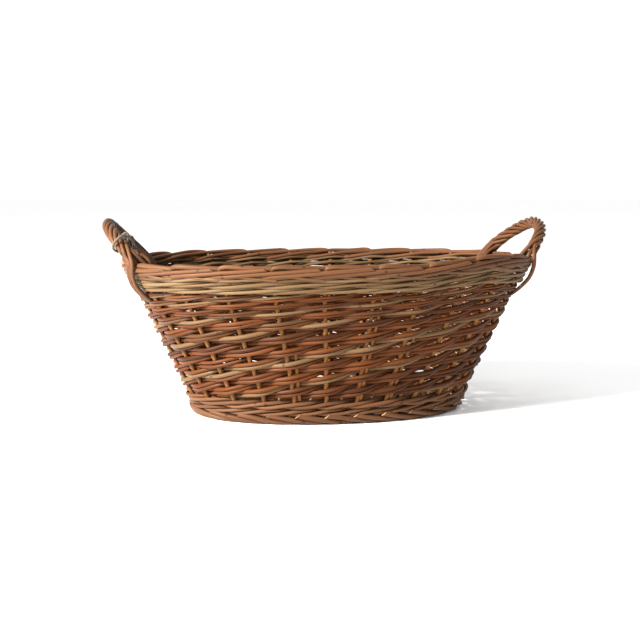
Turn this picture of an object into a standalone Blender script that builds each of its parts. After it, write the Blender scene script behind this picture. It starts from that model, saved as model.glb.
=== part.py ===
"""Oval willow fruit basket with two roped end handles and a tag tied to one of them.

Metres, +Z up. The origin is the middle of the basket on the surface it stands on.
+X runs along the length, so the handles are at +X and -X.
"""

import bpy
import numpy as np
from mathutils import Matrix, Vector

# Driving dimensions of the whole basket, over the outside of the borders
RIM_LENGTH = 0.480
RIM_WIDTH = 0.334
FOOT_LENGTH = 0.324
FOOT_WIDTH = 0.194
WALL_HEIGHT = 0.182
RIM_ROUNDNESS = 2.4
FOOT_ROUNDNESS = 2.1

# Borders: the rope-like edges under the foot and round the rim
FOOT_BORDER_WIDTH = 0.014
FOOT_BORDER_HEIGHT = 0.0115
FOOT_BORDER_CORNERS = 6
RIM_BORDER_WIDTH = 0.015
RIM_BORDER_HEIGHT = 0.013
RIM_BORDER_CORNERS = 8

# Stakes: the upright rods that everything on the side is woven round
STAKE_COUNT = 24
STAKE_RADIUS = 0.0023
STAKE_END_GAP = 0.0015

# Woven bands of the side, each passing in front of one stake and behind the next
UPSETT_HEIGHT = 0.016
UPSETT_THICKNESS = 0.0050
SIDE_COURSES = 6
SIDE_THICKNESS = 0.0036
TOP_WALE_HEIGHT = 0.0135
TOP_WALE_THICKNESS = 0.0044
BAND_GAP = 0.0005
WEAVE_GAP = 0.0006
STEPS_PER_STAKE = 4
WAVE_SHARPNESS = 1.3

# Base: three long sticks through five split cross sticks, woven round in three rounds
BASE_HEIGHT = 0.010
BASE_EDGE_GAP = 0.001
BASE_ROUNDS = 3
BASE_THICKNESS = 0.0026
BASE_CORE_HALF_WIDTH = 0.018
BASE_CORE_ROUNDNESS = 4.0
BASE_ROUND_GAP = 0.0010
BASE_SAG = 0.0011
BASE_STEPS = 5
LONG_STICK_RADIUS = 0.00325
LONG_STICK_SPACING = 0.009
LONG_STICK_FAN_START = 0.088
LONG_STICK_FAN_SLOPE = 0.6
LONG_STICK_FAN_BEND = 0.008
CROSS_STICK_RADIUS = 0.0031
CROSS_STICK_BULGE_RADIUS = 0.0055
CROSS_STICK_PITCH = 0.030
CROSS_STICK_COUNT = 5
CROSS_STICK_TAPER_INSET = 0.0015
FANNED_STICK_POINTS = 13
STICK_END_GAP = 0.003
SLOT_CLEARANCE = 0.0004

# Handles: a bow pushed down beside two stakes, with five rods wound round it
HANDLE_RISE = 0.036
HANDLE_STAKE = 1
HANDLE_STAKE_GAP = 0.0006
HANDLE_LEG_DEPTH = 0.070
BOW_RADIUS = 0.0027
BOW_TIP_RADIUS = 0.0018
BOW_LEG_POINTS = 5
BOW_ARCH_POINTS = 17
BORDER_HOLE_POINTS = 6
BORDER_HOLE_CLEARANCE = 0.0005
ROPE_STRANDS = 5
ROPE_STRAND_RADIUS = 0.0021
ROPE_GAP = 0.0009
ROPE_TURNS = 2.5
ROPE_START_HEIGHT = 0.016
ROPE_TUCK_DEPTH = 0.019
ROPE_SPREAD = 0.0064
ROPE_LEFT_PHASE = 0.5
ROPE_POINTS = 30
ROPE_TUBE_POINTS = 38

# Twine round the front leg of the left handle, and the blank card tag on its end
TWINE_RADIUS = 0.0015
TWINE_POINTS = 44
TWINE_ROUTE = (
    (-0.2170, -0.0540, 0.1905),
    (-0.2205, -0.0560, 0.1975),
    (-0.2255, -0.0605, 0.2055),
    (-0.2315, -0.0635, 0.2105),
    (-0.2380, -0.0685, 0.2085),
    (-0.2440, -0.0670, 0.2025),
    (-0.2450, -0.0625, 0.1960),
    (-0.2405, -0.0565, 0.1925),
    (-0.2340, -0.0525, 0.1945),
    (-0.2295, -0.0520, 0.2005),
    (-0.2290, -0.0555, 0.2075),
    (-0.2255, -0.0550, 0.2085),
    (-0.2235, -0.0520, 0.2030),
    (-0.2245, -0.0495, 0.1970),
    (-0.2260, -0.0480, 0.1930),
)
TAG_DOWN = (0.62, -0.10, -0.77)
TAG_ACROSS = (-0.30, 0.95, -0.10)
TAG_LENGTH = 0.042
TAG_WIDTH = 0.018
TAG_THICKNESS = 0.0008
TAG_GAP = 0.0004

WILLOW = (0.45, 0.22, 0.10)
WILLOW_STAKE = (0.52, 0.29, 0.13)
WILLOW_BORDER = (0.56, 0.30, 0.18)
WILLOW_PALE = (0.66, 0.50, 0.28)
WILLOW_STICK = (0.50, 0.30, 0.16)
TWINE = (0.42, 0.38, 0.27)
CARD = (0.82, 0.84, 0.85)
ROUGHNESS = 0.6
CARD_ROUGHNESS = 0.8

# How finely shapes are measured and drawn
ANGLE_STEP = 1e-4
GIRTH_SAMPLES = 2881
OVAL_SAMPLES = 400
END_ANGLE_REACH = 1.2
END_ANGLE_SAMPLES = 481
ROUTE_STEPS = 24
TANGENT_STEP = 0.001
WELD_DISTANCE = 0.00001
SHARP_ANGLE = 40

FOOT_LEVEL = FOOT_BORDER_HEIGHT / 2
RIM_LEVEL = WALL_HEIGHT - RIM_BORDER_HEIGHT / 2
HANDLE_STAKE_DISTANCE = STAKE_RADIUS + BOW_TIP_RADIUS + HANDLE_STAKE_GAP


def clear_scene():
    for item in list(bpy.data.objects):
        bpy.data.objects.remove(item, do_unlink=True)


def new_collection(name):
    found = bpy.data.collections.get(name) or bpy.data.collections.new(name)
    if found.name not in bpy.context.scene.collection.children:
        bpy.context.scene.collection.children.link(found)
    return found


def material(name, colour, roughness=ROUGHNESS):
    made = bpy.data.materials.get(name) or bpy.data.materials.new(name)
    made.use_nodes = True
    shader = made.node_tree.nodes["Principled BSDF"]
    shader.inputs["Base Color"].default_value = (*colour, 1.0)
    shader.inputs["Roughness"].default_value = roughness
    shader.inputs["Metallic"].default_value = 0.0
    return made


def oval_radius(angle, half_length, half_width, roundness):
    """Distance from the middle of an oval to its edge, in the direction of an angle."""
    across = np.abs(np.cos(angle) / half_length) ** roundness
    along = np.abs(np.sin(angle) / half_width) ** roundness
    return (across + along) ** (-1 / roundness)


def wall_radius(angle, z):
    """Distance of the wall's middle surface, which a stake follows straight up at one angle."""
    foot = oval_radius(
        angle,
        (FOOT_LENGTH - FOOT_BORDER_WIDTH) / 2,
        (FOOT_WIDTH - FOOT_BORDER_WIDTH) / 2,
        FOOT_ROUNDNESS,
    )
    rim = oval_radius(
        angle,
        (RIM_LENGTH - RIM_BORDER_WIDTH) / 2,
        (RIM_WIDTH - RIM_BORDER_WIDTH) / 2,
        RIM_ROUNDNESS,
    )
    return foot + (rim - foot) * (z - FOOT_LEVEL) / (RIM_LEVEL - FOOT_LEVEL)


def wall_spot(angle, z):
    """A point on the wall's middle surface, its tangent and its level outward direction."""
    radius = wall_radius(angle, z)
    ahead, behind = wall_radius(angle + ANGLE_STEP, z), wall_radius(angle - ANGLE_STEP, z)
    growth = (ahead - behind) / (2 * ANGLE_STEP)
    outward = np.array([np.cos(angle), np.sin(angle), 0.0])
    sideways = np.array([-np.sin(angle), np.cos(angle), 0.0])
    tangent = outward * growth + sideways * radius
    stretch = np.linalg.norm(tangent)
    tangent = tangent / stretch
    normal = np.array([tangent[1], -tangent[0], 0.0])
    return outward * radius + np.array([0, 0, z]), tangent, normal, stretch


def stake_angles(count):
    """Angles that share the wall's girth at mid height evenly, the first half a step from +X."""
    angles = np.linspace(0, 2 * np.pi, GIRTH_SAMPLES)
    radii = wall_radius(angles, WALL_HEIGHT / 2)
    points = np.stack([radii * np.cos(angles), radii * np.sin(angles)], axis=1)
    steps = np.linalg.norm(np.diff(points, axis=0), axis=1)
    girth = np.concatenate([[0], np.cumsum(steps)])
    return np.interp((np.arange(count) + 0.5) / count * girth[-1], girth, angles)


def angle_between_stakes(stakes, place):
    """The angle at a fractional stake number: 2.5 is midway between stakes 2 and 3."""
    ring = np.append(stakes, stakes[0] + 2 * np.pi)
    whole = int(np.floor(place))
    return ring[whole] + (ring[whole + 1] - ring[whole]) * (place - whole)


def move_to(item, collection):
    for held_by in list(item.users_collection):
        held_by.objects.unlink(item)
    collection.objects.link(item)


def put(name, data, colour, collection):
    made = bpy.data.objects.new(name, data)
    collection.objects.link(made)
    data.materials.append(material(*colour))
    return made


def ring(name, sections, colour, collection):
    """A closed ring: a torus whose every section is moved to the given corner points."""
    count, corners = len(sections), len(sections[0])
    bpy.ops.mesh.primitive_torus_add(major_segments=count, minor_segments=corners)
    made = bpy.context.active_object
    made.name = name
    made.data.name = name
    for number, vertex in enumerate(made.data.vertices):
        vertex.co = sections[number // corners][number % corners]
    made.data.shade_smooth()
    made.data.set_sharp_from_angle(angle=np.radians(SHARP_ANGLE))
    made.data.materials.append(material(*colour))
    move_to(made, collection)
    return made


def polygon(corners, first_angle):
    """Corner offsets of a section, running the way a torus section does, from -1 to 1 both ways."""
    angles = first_angle + np.arange(corners) * 2 * np.pi / corners
    shape = np.stack([np.cos(angles), np.sin(angles)], axis=1)
    return shape / np.abs(shape).max(axis=0)


def border_ring(name, z_middle, width, height, corners, colour, collection):
    stakes = stake_angles(STAKE_COUNT)
    shape = polygon(corners, np.pi / corners if corners % 4 == 0 else 0.0)
    sections = []
    for step in range(STAKE_COUNT * STEPS_PER_STAKE):
        angle = angle_between_stakes(stakes, step / STEPS_PER_STAKE)
        spot, _, normal, _ = wall_spot(angle, z_middle)
        sections.append([
            spot + normal * out * width / 2 + np.array([0, 0, up * height / 2])
            for out, up in shape
        ])
    return ring(name, sections, colour, collection)


def woven_band(name, z_low, z_high, thickness, first_outside, colour, collection):
    """A band that swings outside one stake and inside the next, all the way round."""
    stakes = stake_angles(STAKE_COUNT)
    swing = STAKE_RADIUS + WEAVE_GAP + thickness / 2
    side = 1 if first_outside else -1
    sections = []
    for step in range(STAKE_COUNT * STEPS_PER_STAKE):
        place = step / STEPS_PER_STAKE
        wave = np.clip(WAVE_SHARPNESS * np.cos(np.pi * place), -1, 1) * swing * side
        section = []
        for out, up in polygon(4, np.pi / 4):
            z = z_low if up < 0 else z_high
            spot, _, normal, _ = wall_spot(angle_between_stakes(stakes, place), z)
            section.append(spot + normal * (wave + out * thickness / 2))
        sections.append(section)
    return ring(name, sections, colour, collection)


def tube(name, points, radii, colour, collection, bevel_resolution=2):
    """A capped round rod along the points."""
    curve = bpy.data.curves.new(name, "CURVE")
    curve.dimensions = "3D"
    curve.bevel_depth = 1.0
    curve.bevel_resolution = bevel_resolution
    curve.use_fill_caps = True
    curve.resolution_u = 1
    curve.render_resolution_u = 0
    spline = curve.splines.new("POLY")
    spline.points.add(len(points) - 1)
    for place, (point, radius) in enumerate(zip(points, radii)):
        spline.points[place].co = (*point, 1.0)
        spline.points[place].radius = radius
    return put(name, curve, colour, collection)


def as_mesh(item):
    """The object again as a mesh, with its caps welded on, so that a Boolean can use it."""
    view = bpy.context.evaluated_depsgraph_get()
    data = bpy.data.meshes.new_from_object(item.evaluated_get(view))
    name, places, holder = item.name, item.matrix_world.copy(), item.users_collection[0]
    bpy.data.objects.remove(item, do_unlink=True)
    data.name = name
    made = bpy.data.objects.new(name, data)
    made.matrix_world = places
    holder.objects.link(made)
    weld = made.modifiers.new("Weld caps", "WELD")
    weld.merge_threshold = WELD_DISTANCE
    return made


def as_cutter(item):
    item.display_type = "WIRE"
    item.hide_render = True
    return item


def cut(item, cutter):
    boolean = item.modifiers.new("Cut " + cutter.name, "BOOLEAN")
    boolean.operation = "DIFFERENCE"
    boolean.solver = "EXACT"
    boolean.object = cutter


def lengths_along(points):
    return np.concatenate([[0], np.cumsum(np.linalg.norm(np.diff(points, axis=0), axis=1))])


def point_along(length, lengths, points):
    return np.array([np.interp(length, lengths, points[:, axis]) for axis in range(3)])


def smooth_route(points, count):
    """Evenly spread points on a smooth curve through the route's own points."""
    route = np.array(points, dtype=float)
    padded = np.vstack([2 * route[0] - route[1], route, 2 * route[-1] - route[-2]])
    fine = []
    for place in range(len(route) - 1):
        before, start, end, after = padded[place:place + 4]
        for t in np.linspace(0, 1, ROUTE_STEPS, endpoint=False):
            fine.append(0.5 * (
                2 * start + (end - before) * t
                + (2 * before - 5 * start + 4 * end - after) * t ** 2
                + (3 * start - before - 3 * end + after) * t ** 3
            ))
    fine = np.array(fine + [route[-1]])
    lengths = lengths_along(fine)
    return np.array([
        point_along(length, lengths, fine) for length in np.linspace(0, lengths[-1], count)
    ])


def make_stakes(collection):
    low = FOOT_BORDER_HEIGHT + STAKE_END_GAP
    high = WALL_HEIGHT - RIM_BORDER_HEIGHT - STAKE_END_GAP
    for number, angle in enumerate(stake_angles(STAKE_COUNT), start=1):
        ends = [wall_spot(angle, z)[0] for z in (low, high)]
        tube(f"stake_{number:02d}", ends, [STAKE_RADIUS] * 2,
             ("willow_stake", WILLOW_STAKE), collection)


def make_side(collection):
    """The upsett at the foot, the side courses and the pale wale under the rim, one on another."""
    low = FOOT_BORDER_HEIGHT + BAND_GAP
    woven_band("upsett_wale", low, low + UPSETT_HEIGHT, UPSETT_THICKNESS, True,
               ("willow_border", WILLOW_BORDER), collection)
    side_low = low + UPSETT_HEIGHT + BAND_GAP
    wale_low = WALL_HEIGHT - RIM_BORDER_HEIGHT - BAND_GAP - TOP_WALE_HEIGHT
    pitch = (wale_low - side_low) / SIDE_COURSES
    for course in range(SIDE_COURSES):
        low = side_low + pitch * course
        woven_band(f"side_course_{course + 1}", low, low + pitch - BAND_GAP, SIDE_THICKNESS,
                   course % 2 == 1, ("willow_side", WILLOW), collection)
    woven_band("top_wale", wale_low, wale_low + TOP_WALE_HEIGHT, TOP_WALE_THICKNESS,
               SIDE_COURSES % 2 == 1, ("willow_pale", WILLOW_PALE), collection)


def base_edge():
    """Half length and half width of the base's outer edge, just inside the foot border."""
    inset = FOOT_BORDER_WIDTH + BASE_EDGE_GAP
    return FOOT_LENGTH / 2 - inset, FOOT_WIDTH / 2 - inset


def base_ovals():
    """The ovals between the base's rounds, from the core to the edge."""
    half_length, half_width = base_edge()
    depth = half_width - BASE_CORE_HALF_WIDTH
    for part in np.linspace(0, 1, BASE_ROUNDS + 1):
        inset = depth * (1 - part)
        roundness = BASE_CORE_ROUNDNESS + (FOOT_ROUNDNESS - BASE_CORE_ROUNDNESS) * part
        yield half_length - inset, half_width - inset, roundness


def fan_offset(x):
    """Distance of an outer long stick from the middle one, which opens out past the core."""
    past = abs(x) - LONG_STICK_FAN_START
    opened = (past + np.hypot(past, LONG_STICK_FAN_BEND)) / 2
    return LONG_STICK_SPACING + LONG_STICK_FAN_SLOPE * opened


def inside_oval_x(oval, offset):
    """Where a line that runs along X with a changing offset leaves an oval."""
    places = np.linspace(0, oval[0], OVAL_SAMPLES)
    offsets = np.array([offset(x) for x in places])
    reach = oval_radius(np.arctan2(offsets, places), *oval)
    return places[np.hypot(places, offsets) <= reach][-1]


def cross_stick_places():
    middle = (CROSS_STICK_COUNT - 1) / 2
    return [(number - middle) * CROSS_STICK_PITCH for number in range(CROSS_STICK_COUNT)]


def crossing_angles(oval, bundled):
    """Angles at which an oval passes the sticks, over a full turn."""
    end = inside_oval_x(oval, fan_offset)
    fan = np.arctan2(fan_offset(end), end)
    half = [-fan, fan] if bundled else [-fan, 0.0, fan]
    for x in sorted(cross_stick_places(), reverse=True):
        y = oval[1] * (1 - (abs(x) / oval[0]) ** oval[2]) ** (1 / oval[2])
        half.append(np.arctan2(y, x))
    return half + [angle + np.pi for angle in half] + [half[0] + 2 * np.pi]


def crossing_passes(bundled):
    """Which pass, over or under, each crossing belongs to; a bundle is passed as one stick."""
    half = [0, 0] if bundled else [0, 1, 2]
    half += [half[-1] + 1 + number for number in range(CROSS_STICK_COUNT)]
    turn = half[-1] + 1
    return half + [turn + number for number in half] + [2 * turn]


def make_base_rounds(collection):
    """Rounds of weaving, each going over one stick and under the next."""
    swing = LONG_STICK_RADIUS + WEAVE_GAP + BASE_THICKNESS / 2 + BASE_SAG
    ovals = list(base_ovals())
    for number in range(BASE_ROUNDS):
        bundled = number == 0
        passes = crossing_passes(bundled)
        edges = [(oval, crossing_angles(oval, bundled)) for oval in ovals[number:number + 2]]
        sections = []
        for place in np.arange(0, len(passes) - 1, 1 / BASE_STEPS):
            along = np.interp(place, range(len(passes)), passes) + number
            wave = np.clip(WAVE_SHARPNESS * np.cos(np.pi * along), -1, 1) * swing
            section = []
            for out, up in polygon(4, np.pi / 4):
                oval, angles = edges[1 if out > 0 else 0]
                angle = np.interp(place, range(len(angles)), angles)
                radius = oval_radius(angle, *oval) - out * BASE_ROUND_GAP / 2
                z = BASE_HEIGHT + wave + up * BASE_THICKNESS / 2
                section.append((radius * np.cos(angle), radius * np.sin(angle), z))
            sections.append(section)
        ring(f"base_round_{number + 1}", sections, ("willow_side", WILLOW), collection)


def make_base_sticks(collection, cutters):
    edge = (*base_edge(), FOOT_ROUNDNESS)
    colour = ("willow_stick", WILLOW_STICK)
    for number, side in enumerate((-1, 0, 1), start=1):
        end = inside_oval_x(edge, fan_offset if side else lambda x: 0.0) - STICK_END_GAP
        places = np.linspace(-end, end, FANNED_STICK_POINTS if side else 2)
        points = [(x, side * fan_offset(x), BASE_HEIGHT) for x in places]
        tube(f"base_stick_long_{number}", points, [LONG_STICK_RADIUS] * len(points),
             colour, collection)

    outermost = cross_stick_places()[-1] + CROSS_STICK_BULGE_RADIUS
    bundle = fan_offset(outermost) + LONG_STICK_RADIUS
    bpy.ops.mesh.primitive_cube_add(size=1, location=(0, 0, BASE_HEIGHT))
    slot = as_cutter(bpy.context.active_object)
    slot.name = "slot_for_long_sticks"
    slot.dimensions = (
        CROSS_STICK_PITCH * CROSS_STICK_COUNT,
        2 * (bundle + SLOT_CLEARANCE),
        2 * (LONG_STICK_RADIUS + SLOT_CLEARANCE),
    )
    move_to(slot, cutters)
    for number, x in enumerate(cross_stick_places(), start=1):
        end = edge[1] * (1 - (abs(x) / edge[0]) ** edge[2]) ** (1 / edge[2]) - STICK_END_GAP
        bulge = bundle + SLOT_CLEARANCE
        taper = BASE_CORE_HALF_WIDTH - CROSS_STICK_TAPER_INSET
        places = (-end, -taper, -bulge, bulge, taper, end)
        radii = [CROSS_STICK_RADIUS] * 2 + [CROSS_STICK_BULGE_RADIUS] * 2 + [CROSS_STICK_RADIUS] * 2
        stick = as_mesh(tube(f"base_stick_cross_{number}", [(x, y, BASE_HEIGHT) for y in places],
                             radii, colour, collection))
        cut(stick, slot)


def end_spot(y, z, side):
    """A point on the wall's surface, carried on above the rim, at the +X or -X end."""
    angles = np.linspace(-END_ANGLE_REACH, END_ANGLE_REACH, END_ANGLE_SAMPLES)
    radii = np.array([wall_radius(angle, z) for angle in angles])
    angle = np.interp(y, radii * np.sin(angles), angles)
    spot, tangent, normal, _ = wall_spot(angle, z)
    flip = np.array([side, 1, 1])
    return spot * flip, tangent * flip, normal * flip


def leg_y(z):
    """How far from the middle a handle's leg stands, close beside its stake."""
    angle = stake_angles(STAKE_COUNT)[HANDLE_STAKE]
    spot, _, _, stretch = wall_spot(angle, z)
    beside = wall_spot(angle - HANDLE_STAKE_DISTANCE / stretch, z)[0]
    return beside[1]


def bow_line():
    """The bow's own line as (y, z) on the end surface, leg bottom to leg bottom."""
    levels = np.linspace(WALL_HEIGHT - HANDLE_LEG_DEPTH, WALL_HEIGHT, BOW_LEG_POINTS)
    leg = [(leg_y(z), z) for z in levels]
    span = leg[-1][0]
    arch = [
        (span * np.cos(turn), WALL_HEIGHT + HANDLE_RISE * np.sin(turn))
        for turn in np.linspace(0, np.pi, BOW_ARCH_POINTS + 2)[1:-1]
    ]
    return leg + arch + [(-y, z) for y, z in reversed(leg)]


def bow_radius(z):
    """The bow is full size above the rim, and its legs are pared down below the border."""
    pared = np.clip((WALL_HEIGHT - z) / RIM_BORDER_HEIGHT, 0, 1)
    return BOW_RADIUS + (BOW_TIP_RADIUS - BOW_RADIUS) * pared


def make_bows(collection, cutters, border):
    for name, side in (("left", -1), ("right", 1)):
        line = bow_line()
        points = [end_spot(y, z, side)[0] for y, z in line]
        tube(f"{name}_handle_bow", points, [bow_radius(z) for _, z in line],
             ("willow_handle", WILLOW_BORDER), collection)
        for leg, sign in (("back", 1), ("front", -1)):
            low = WALL_HEIGHT - 2 * RIM_BORDER_HEIGHT
            levels = np.linspace(low, WALL_HEIGHT, BORDER_HOLE_POINTS)
            hole = [end_spot(sign * leg_y(z), z, side)[0] for z in levels]
            above = Vector(hole[-1] - hole[-2]).normalized() * RIM_BORDER_HEIGHT
            hole.append(hole[-1] + np.array(above))
            radius = BOW_RADIUS + BORDER_HOLE_CLEARANCE
            cutter = tube(f"hole_{name}_{leg}", hole, [radius] * len(hole),
                          ("cutter", WILLOW), cutters)
            cut(border, as_cutter(as_mesh(cutter)))


def rope_strand_points(side, strand):
    """One rod of the rope: down past the border, wound round the bow, and down past it again."""
    line = np.array(bow_line())
    above = line[line[:, 1] > WALL_HEIGHT + ROPE_START_HEIGHT]
    spots = [end_spot(y, z, side) for y, z in above]
    centres = np.array([spot for spot, _, _ in spots])
    normals = np.array([normal for _, _, normal in spots])
    lengths = lengths_along(centres)
    helix = []
    away = BOW_RADIUS + ROPE_GAP + ROPE_STRAND_RADIUS
    first = (strand / ROPE_STRANDS + (ROPE_LEFT_PHASE if side < 0 else 0)) * 2 * np.pi
    for length in np.linspace(0, lengths[-1], ROPE_POINTS):
        centre = point_along(length, lengths, centres)
        normal = point_along(length, lengths, normals)
        ahead = point_along(length + TANGENT_STEP, lengths, centres)
        behind = point_along(length - TANGENT_STEP, lengths, centres)
        forward = (ahead - behind) / np.linalg.norm(ahead - behind)
        normal -= forward * normal.dot(forward)
        normal /= np.linalg.norm(normal)
        turn = first + length / lengths[-1] * ROPE_TURNS * 2 * np.pi
        helix.append(centre + away * (np.cos(turn) * normal
                                      + np.sin(turn) * np.cross(forward, normal)))
    start = rope_tuck(side, 1, np.cos(first), np.sin(first))
    last = first + ROPE_TURNS * 2 * np.pi
    end = rope_tuck(side, -1, np.cos(last), np.sin(last))
    return start + helix + end[::-1]


def rope_tuck(side, leg, outward, along):
    """Points that carry a rod of the rope past the border, outside or inside it."""
    clear = RIM_BORDER_WIDTH / 2 + ROPE_GAP + ROPE_STRAND_RADIUS
    points = []
    for z in (WALL_HEIGHT - ROPE_TUCK_DEPTH, RIM_LEVEL, WALL_HEIGHT):
        level = max(z, RIM_LEVEL) if outward > 0 else min(z, RIM_LEVEL)
        spot, tangent, normal = end_spot(leg * leg_y(level), level, side)
        spot = np.array([spot[0], spot[1], z])
        out = clear if outward > 0 else -clear
        points.append(spot + normal * out + tangent * along * ROPE_SPREAD * side * leg)
    return points


def make_ropes(collection):
    for name, side in (("left", -1), ("right", 1)):
        for strand in range(ROPE_STRANDS):
            points = smooth_route(rope_strand_points(side, strand), ROPE_TUBE_POINTS)
            tube(f"{name}_handle_strand_{strand + 1}", points,
                 [ROPE_STRAND_RADIUS] * len(points), ("willow_handle", WILLOW_BORDER),
                 collection, bevel_resolution=1)


def make_twine_and_tag(collection):
    points = smooth_route(TWINE_ROUTE, TWINE_POINTS)
    tube("tag_twine", points, [TWINE_RADIUS] * len(points), ("jute_twine", TWINE), collection)
    down = Vector(TAG_DOWN).normalized()
    face = down.cross(Vector(TAG_ACROSS)).normalized()
    across = face.cross(down)
    bpy.ops.mesh.primitive_cube_add(size=1)
    tag = bpy.context.active_object
    tag.name = "swing_tag"
    tag.data.name = "swing_tag"
    for vertex in tag.data.vertices:
        vertex.co = vertex.co * Vector((TAG_WIDTH, TAG_THICKNESS, TAG_LENGTH))
    turn = Matrix((across, face, -down)).transposed()
    reach = TAG_GAP + TWINE_RADIUS + TAG_LENGTH / 2
    tag.matrix_world = Matrix.Translation(Vector(points[-1]) + down * reach) @ turn.to_4x4()
    tag.data.materials.append(material("tag_card", CARD, CARD_ROUGHNESS))
    move_to(tag, collection)


def main():
    clear_scene()
    basket = new_collection("woven_fruit_basket")
    cutters = new_collection("cutters")
    cutters.hide_render = True
    border_ring("foot_border", FOOT_LEVEL, FOOT_BORDER_WIDTH, FOOT_BORDER_HEIGHT,
                FOOT_BORDER_CORNERS, ("willow_border", WILLOW_BORDER), basket)
    make_base_sticks(basket, cutters)
    make_base_rounds(basket)
    make_stakes(basket)
    make_side(basket)
    rim = border_ring("rim_border", RIM_LEVEL, RIM_BORDER_WIDTH, RIM_BORDER_HEIGHT,
                      RIM_BORDER_CORNERS, ("willow_border", WILLOW_BORDER), basket)
    make_bows(basket, cutters, rim)
    make_ropes(basket)
    make_twine_and_tag(basket)


main()
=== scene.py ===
"""Willow fruit basket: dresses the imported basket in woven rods, roped handles, twine and a tag."""

import math

import bpy
import numpy as np
from bpy.props import FloatProperty, FloatVectorProperty, IntProperty, PointerProperty
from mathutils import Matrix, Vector


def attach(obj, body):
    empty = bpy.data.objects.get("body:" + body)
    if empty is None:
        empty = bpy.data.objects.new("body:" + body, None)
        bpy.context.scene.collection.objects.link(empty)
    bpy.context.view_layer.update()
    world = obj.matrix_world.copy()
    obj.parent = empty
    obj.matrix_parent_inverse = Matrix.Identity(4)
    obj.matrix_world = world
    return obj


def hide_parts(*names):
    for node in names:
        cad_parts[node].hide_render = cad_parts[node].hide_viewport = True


bl_info = {
    "name": "Willow fruit basket",
    "version": (1, 0, 0),
    "blender": (4, 5, 0),
    "location": "3D View > Sidebar > Basket",
    "description": "Weaves an oval willow basket piece by piece over its solid model",
    "category": "Object",
}

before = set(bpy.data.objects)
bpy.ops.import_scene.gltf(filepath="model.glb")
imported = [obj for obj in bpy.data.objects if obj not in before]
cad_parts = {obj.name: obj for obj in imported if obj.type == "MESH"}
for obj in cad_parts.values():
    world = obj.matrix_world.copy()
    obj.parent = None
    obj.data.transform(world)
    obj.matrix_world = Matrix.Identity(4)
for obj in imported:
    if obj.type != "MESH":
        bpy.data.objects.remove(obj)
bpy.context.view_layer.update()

# The basket's sizes, in metres, as in its solid model
RIM_LENGTH, RIM_WIDTH, RIM_ROUNDNESS = 0.480, 0.334, 2.4
FOOT_LENGTH, FOOT_WIDTH, FOOT_ROUNDNESS = 0.324, 0.194, 2.1
WALL_HEIGHT = 0.182
FOOT_BORDER_WIDTH, FOOT_BORDER_HEIGHT = 0.014, 0.0115
RIM_BORDER_WIDTH, RIM_BORDER_HEIGHT = 0.015, 0.013
STAKE_COUNT = 24
SIDE_LOW, SIDE_HIGH = 0.0285, 0.155
FOOT_LEVEL = FOOT_BORDER_HEIGHT / 2
RIM_LEVEL = WALL_HEIGHT - RIM_BORDER_HEIGHT / 2
BASE_HEIGHT = 0.010
BASE_CORE_ROUNDNESS = 4.0
LONG_STICK_SPACING, LONG_STICK_FAN_START = 0.009, 0.088
LONG_STICK_FAN_SLOPE, LONG_STICK_FAN_BEND = 0.6, 0.008
CROSS_STICK_PITCH, CROSS_STICK_COUNT = 0.030, 5
HANDLE_STAKE, HANDLE_STAKE_DISTANCE = 1, 0.0047
HANDLE_LEG_BOTTOM, BOW_RADIUS = 0.112, 0.0027
BOW_RISE, BOW_POINT = 0.0385, 1.12

# The twine's route, from its free end round the handle's leg to the top of the tag
TWINE_ROUTE = (
    (-0.2170, -0.0540, 0.1905),
    (-0.2205, -0.0560, 0.1975),
    (-0.2255, -0.0605, 0.2055),
    (-0.2315, -0.0635, 0.2105),
    (-0.2380, -0.0685, 0.2085),
    (-0.2440, -0.0670, 0.2025),
    (-0.2450, -0.0625, 0.1960),
    (-0.2405, -0.0565, 0.1925),
    (-0.2340, -0.0525, 0.1945),
    (-0.2295, -0.0520, 0.2005),
    (-0.2290, -0.0555, 0.2075),
    (-0.2255, -0.0550, 0.2085),
    (-0.2235, -0.0520, 0.2030),
    (-0.2245, -0.0495, 0.1970),
    (-0.2260, -0.0480, 0.1930),
)
TAG_DOWN, TAG_ACROSS = (0.62, -0.10, -0.77), (-0.30, 0.95, -0.10)
TAG_LENGTH, TAG_WIDTH, TAG_THICKNESS, TAG_GAP = 0.042, 0.018, 0.0008, 0.0004

UP = np.array([0.0, 0.0, 1.0])


# ---------------------------------------------------------------- the wall's shape

def oval_radius(angle, half_length, half_width, roundness):
    across = np.abs(np.cos(angle) / half_length) ** roundness
    along = np.abs(np.sin(angle) / half_width) ** roundness
    return (across + along) ** (-1 / roundness)


def foot_and_rim(angle):
    foot = oval_radius(angle, (FOOT_LENGTH - FOOT_BORDER_WIDTH) / 2,
                       (FOOT_WIDTH - FOOT_BORDER_WIDTH) / 2, FOOT_ROUNDNESS)
    rim = oval_radius(angle, (RIM_LENGTH - RIM_BORDER_WIDTH) / 2,
                      (RIM_WIDTH - RIM_BORDER_WIDTH) / 2, RIM_ROUNDNESS)
    return foot, rim


def wall_radius(angle, z):
    foot, rim = foot_and_rim(angle)
    return foot + (rim - foot) * (z - FOOT_LEVEL) / (RIM_LEVEL - FOOT_LEVEL)


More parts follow.
